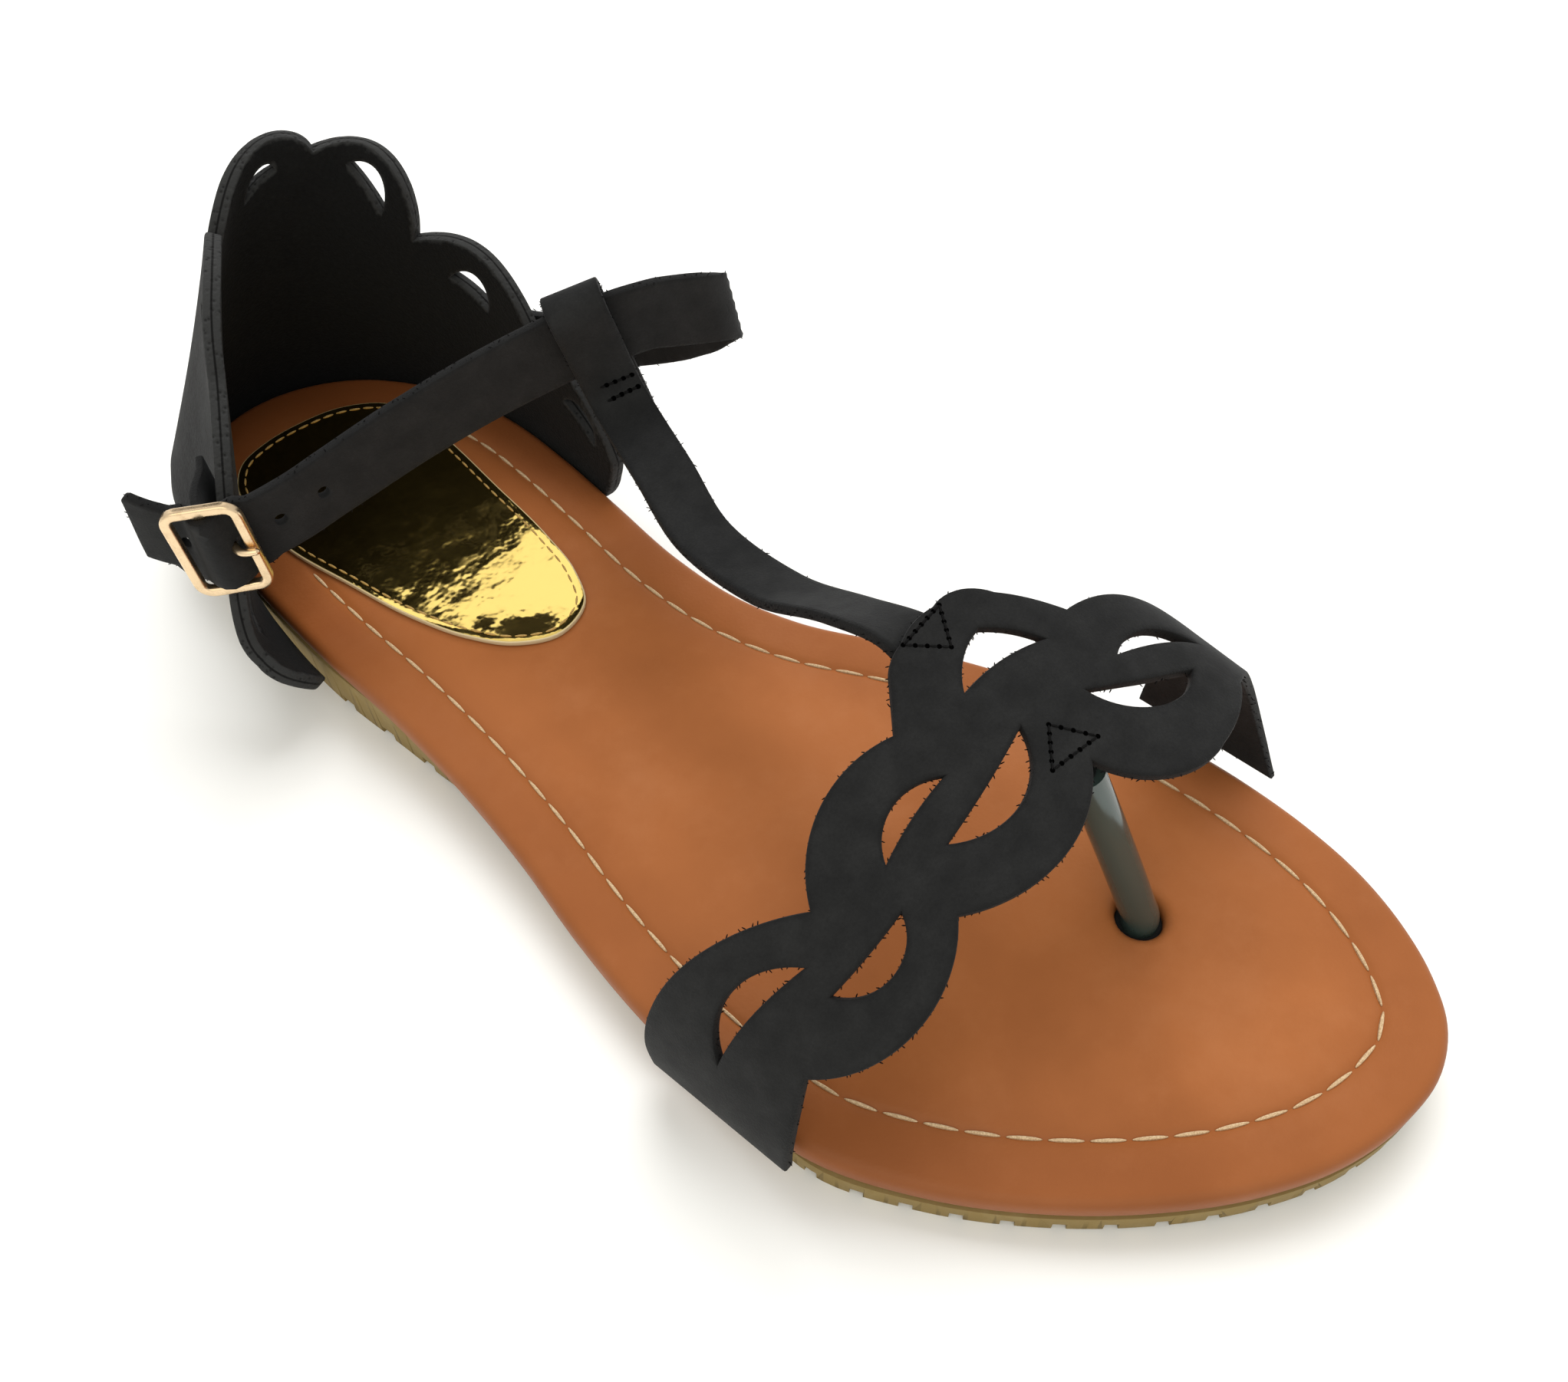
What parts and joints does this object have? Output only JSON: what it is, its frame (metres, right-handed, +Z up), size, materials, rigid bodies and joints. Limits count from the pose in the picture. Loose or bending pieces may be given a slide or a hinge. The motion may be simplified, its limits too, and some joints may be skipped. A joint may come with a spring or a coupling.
{
  "type": "toe post sandal",
  "caption": "Flat right-foot toe post sandal: scalloped vamp strap with cut-outs, T-strap looped on a buckled ankle strap, high heel counter, thin ribbed sole.",
  "frame": {"origin": "on the floor under the ball of the foot, on the outsole's forefoot flat spot", "axes": "+Z up, toe towards -Y, inner side of the right foot towards +X"},
  "size_m": [0.1011, 0.249, 0.0698],
  "materials": {
    "outsole_rubber": "matt cream rubber",
    "footbed_tan": "smooth tan",
    "patch_foil": "mirror gold foil",
    "strap_nubuck": "charcoal nubuck with raw edges",
    "counter_suede": "charcoal suede",
    "post_tube": "soft grey tube over a dark cord",
    "buckle_gilt": "pale gold plate"
  },
  "bodies": {
    "root": {"outsole": "outsole_rubber", "footbed": "footbed_tan", "heel_patch": "patch_foil", "vamp_strap": "strap_nubuck", "t_strap": "strap_nubuck", "ankle_strap": "strap_nubuck", "heel_counter": "counter_suede", "toe_post": "post_tube", "buckle_frame": "buckle_gilt", "buckle_prong": "buckle_gilt", "buckle_tab": "strap_nubuck"}
  },
  "joints": []
}
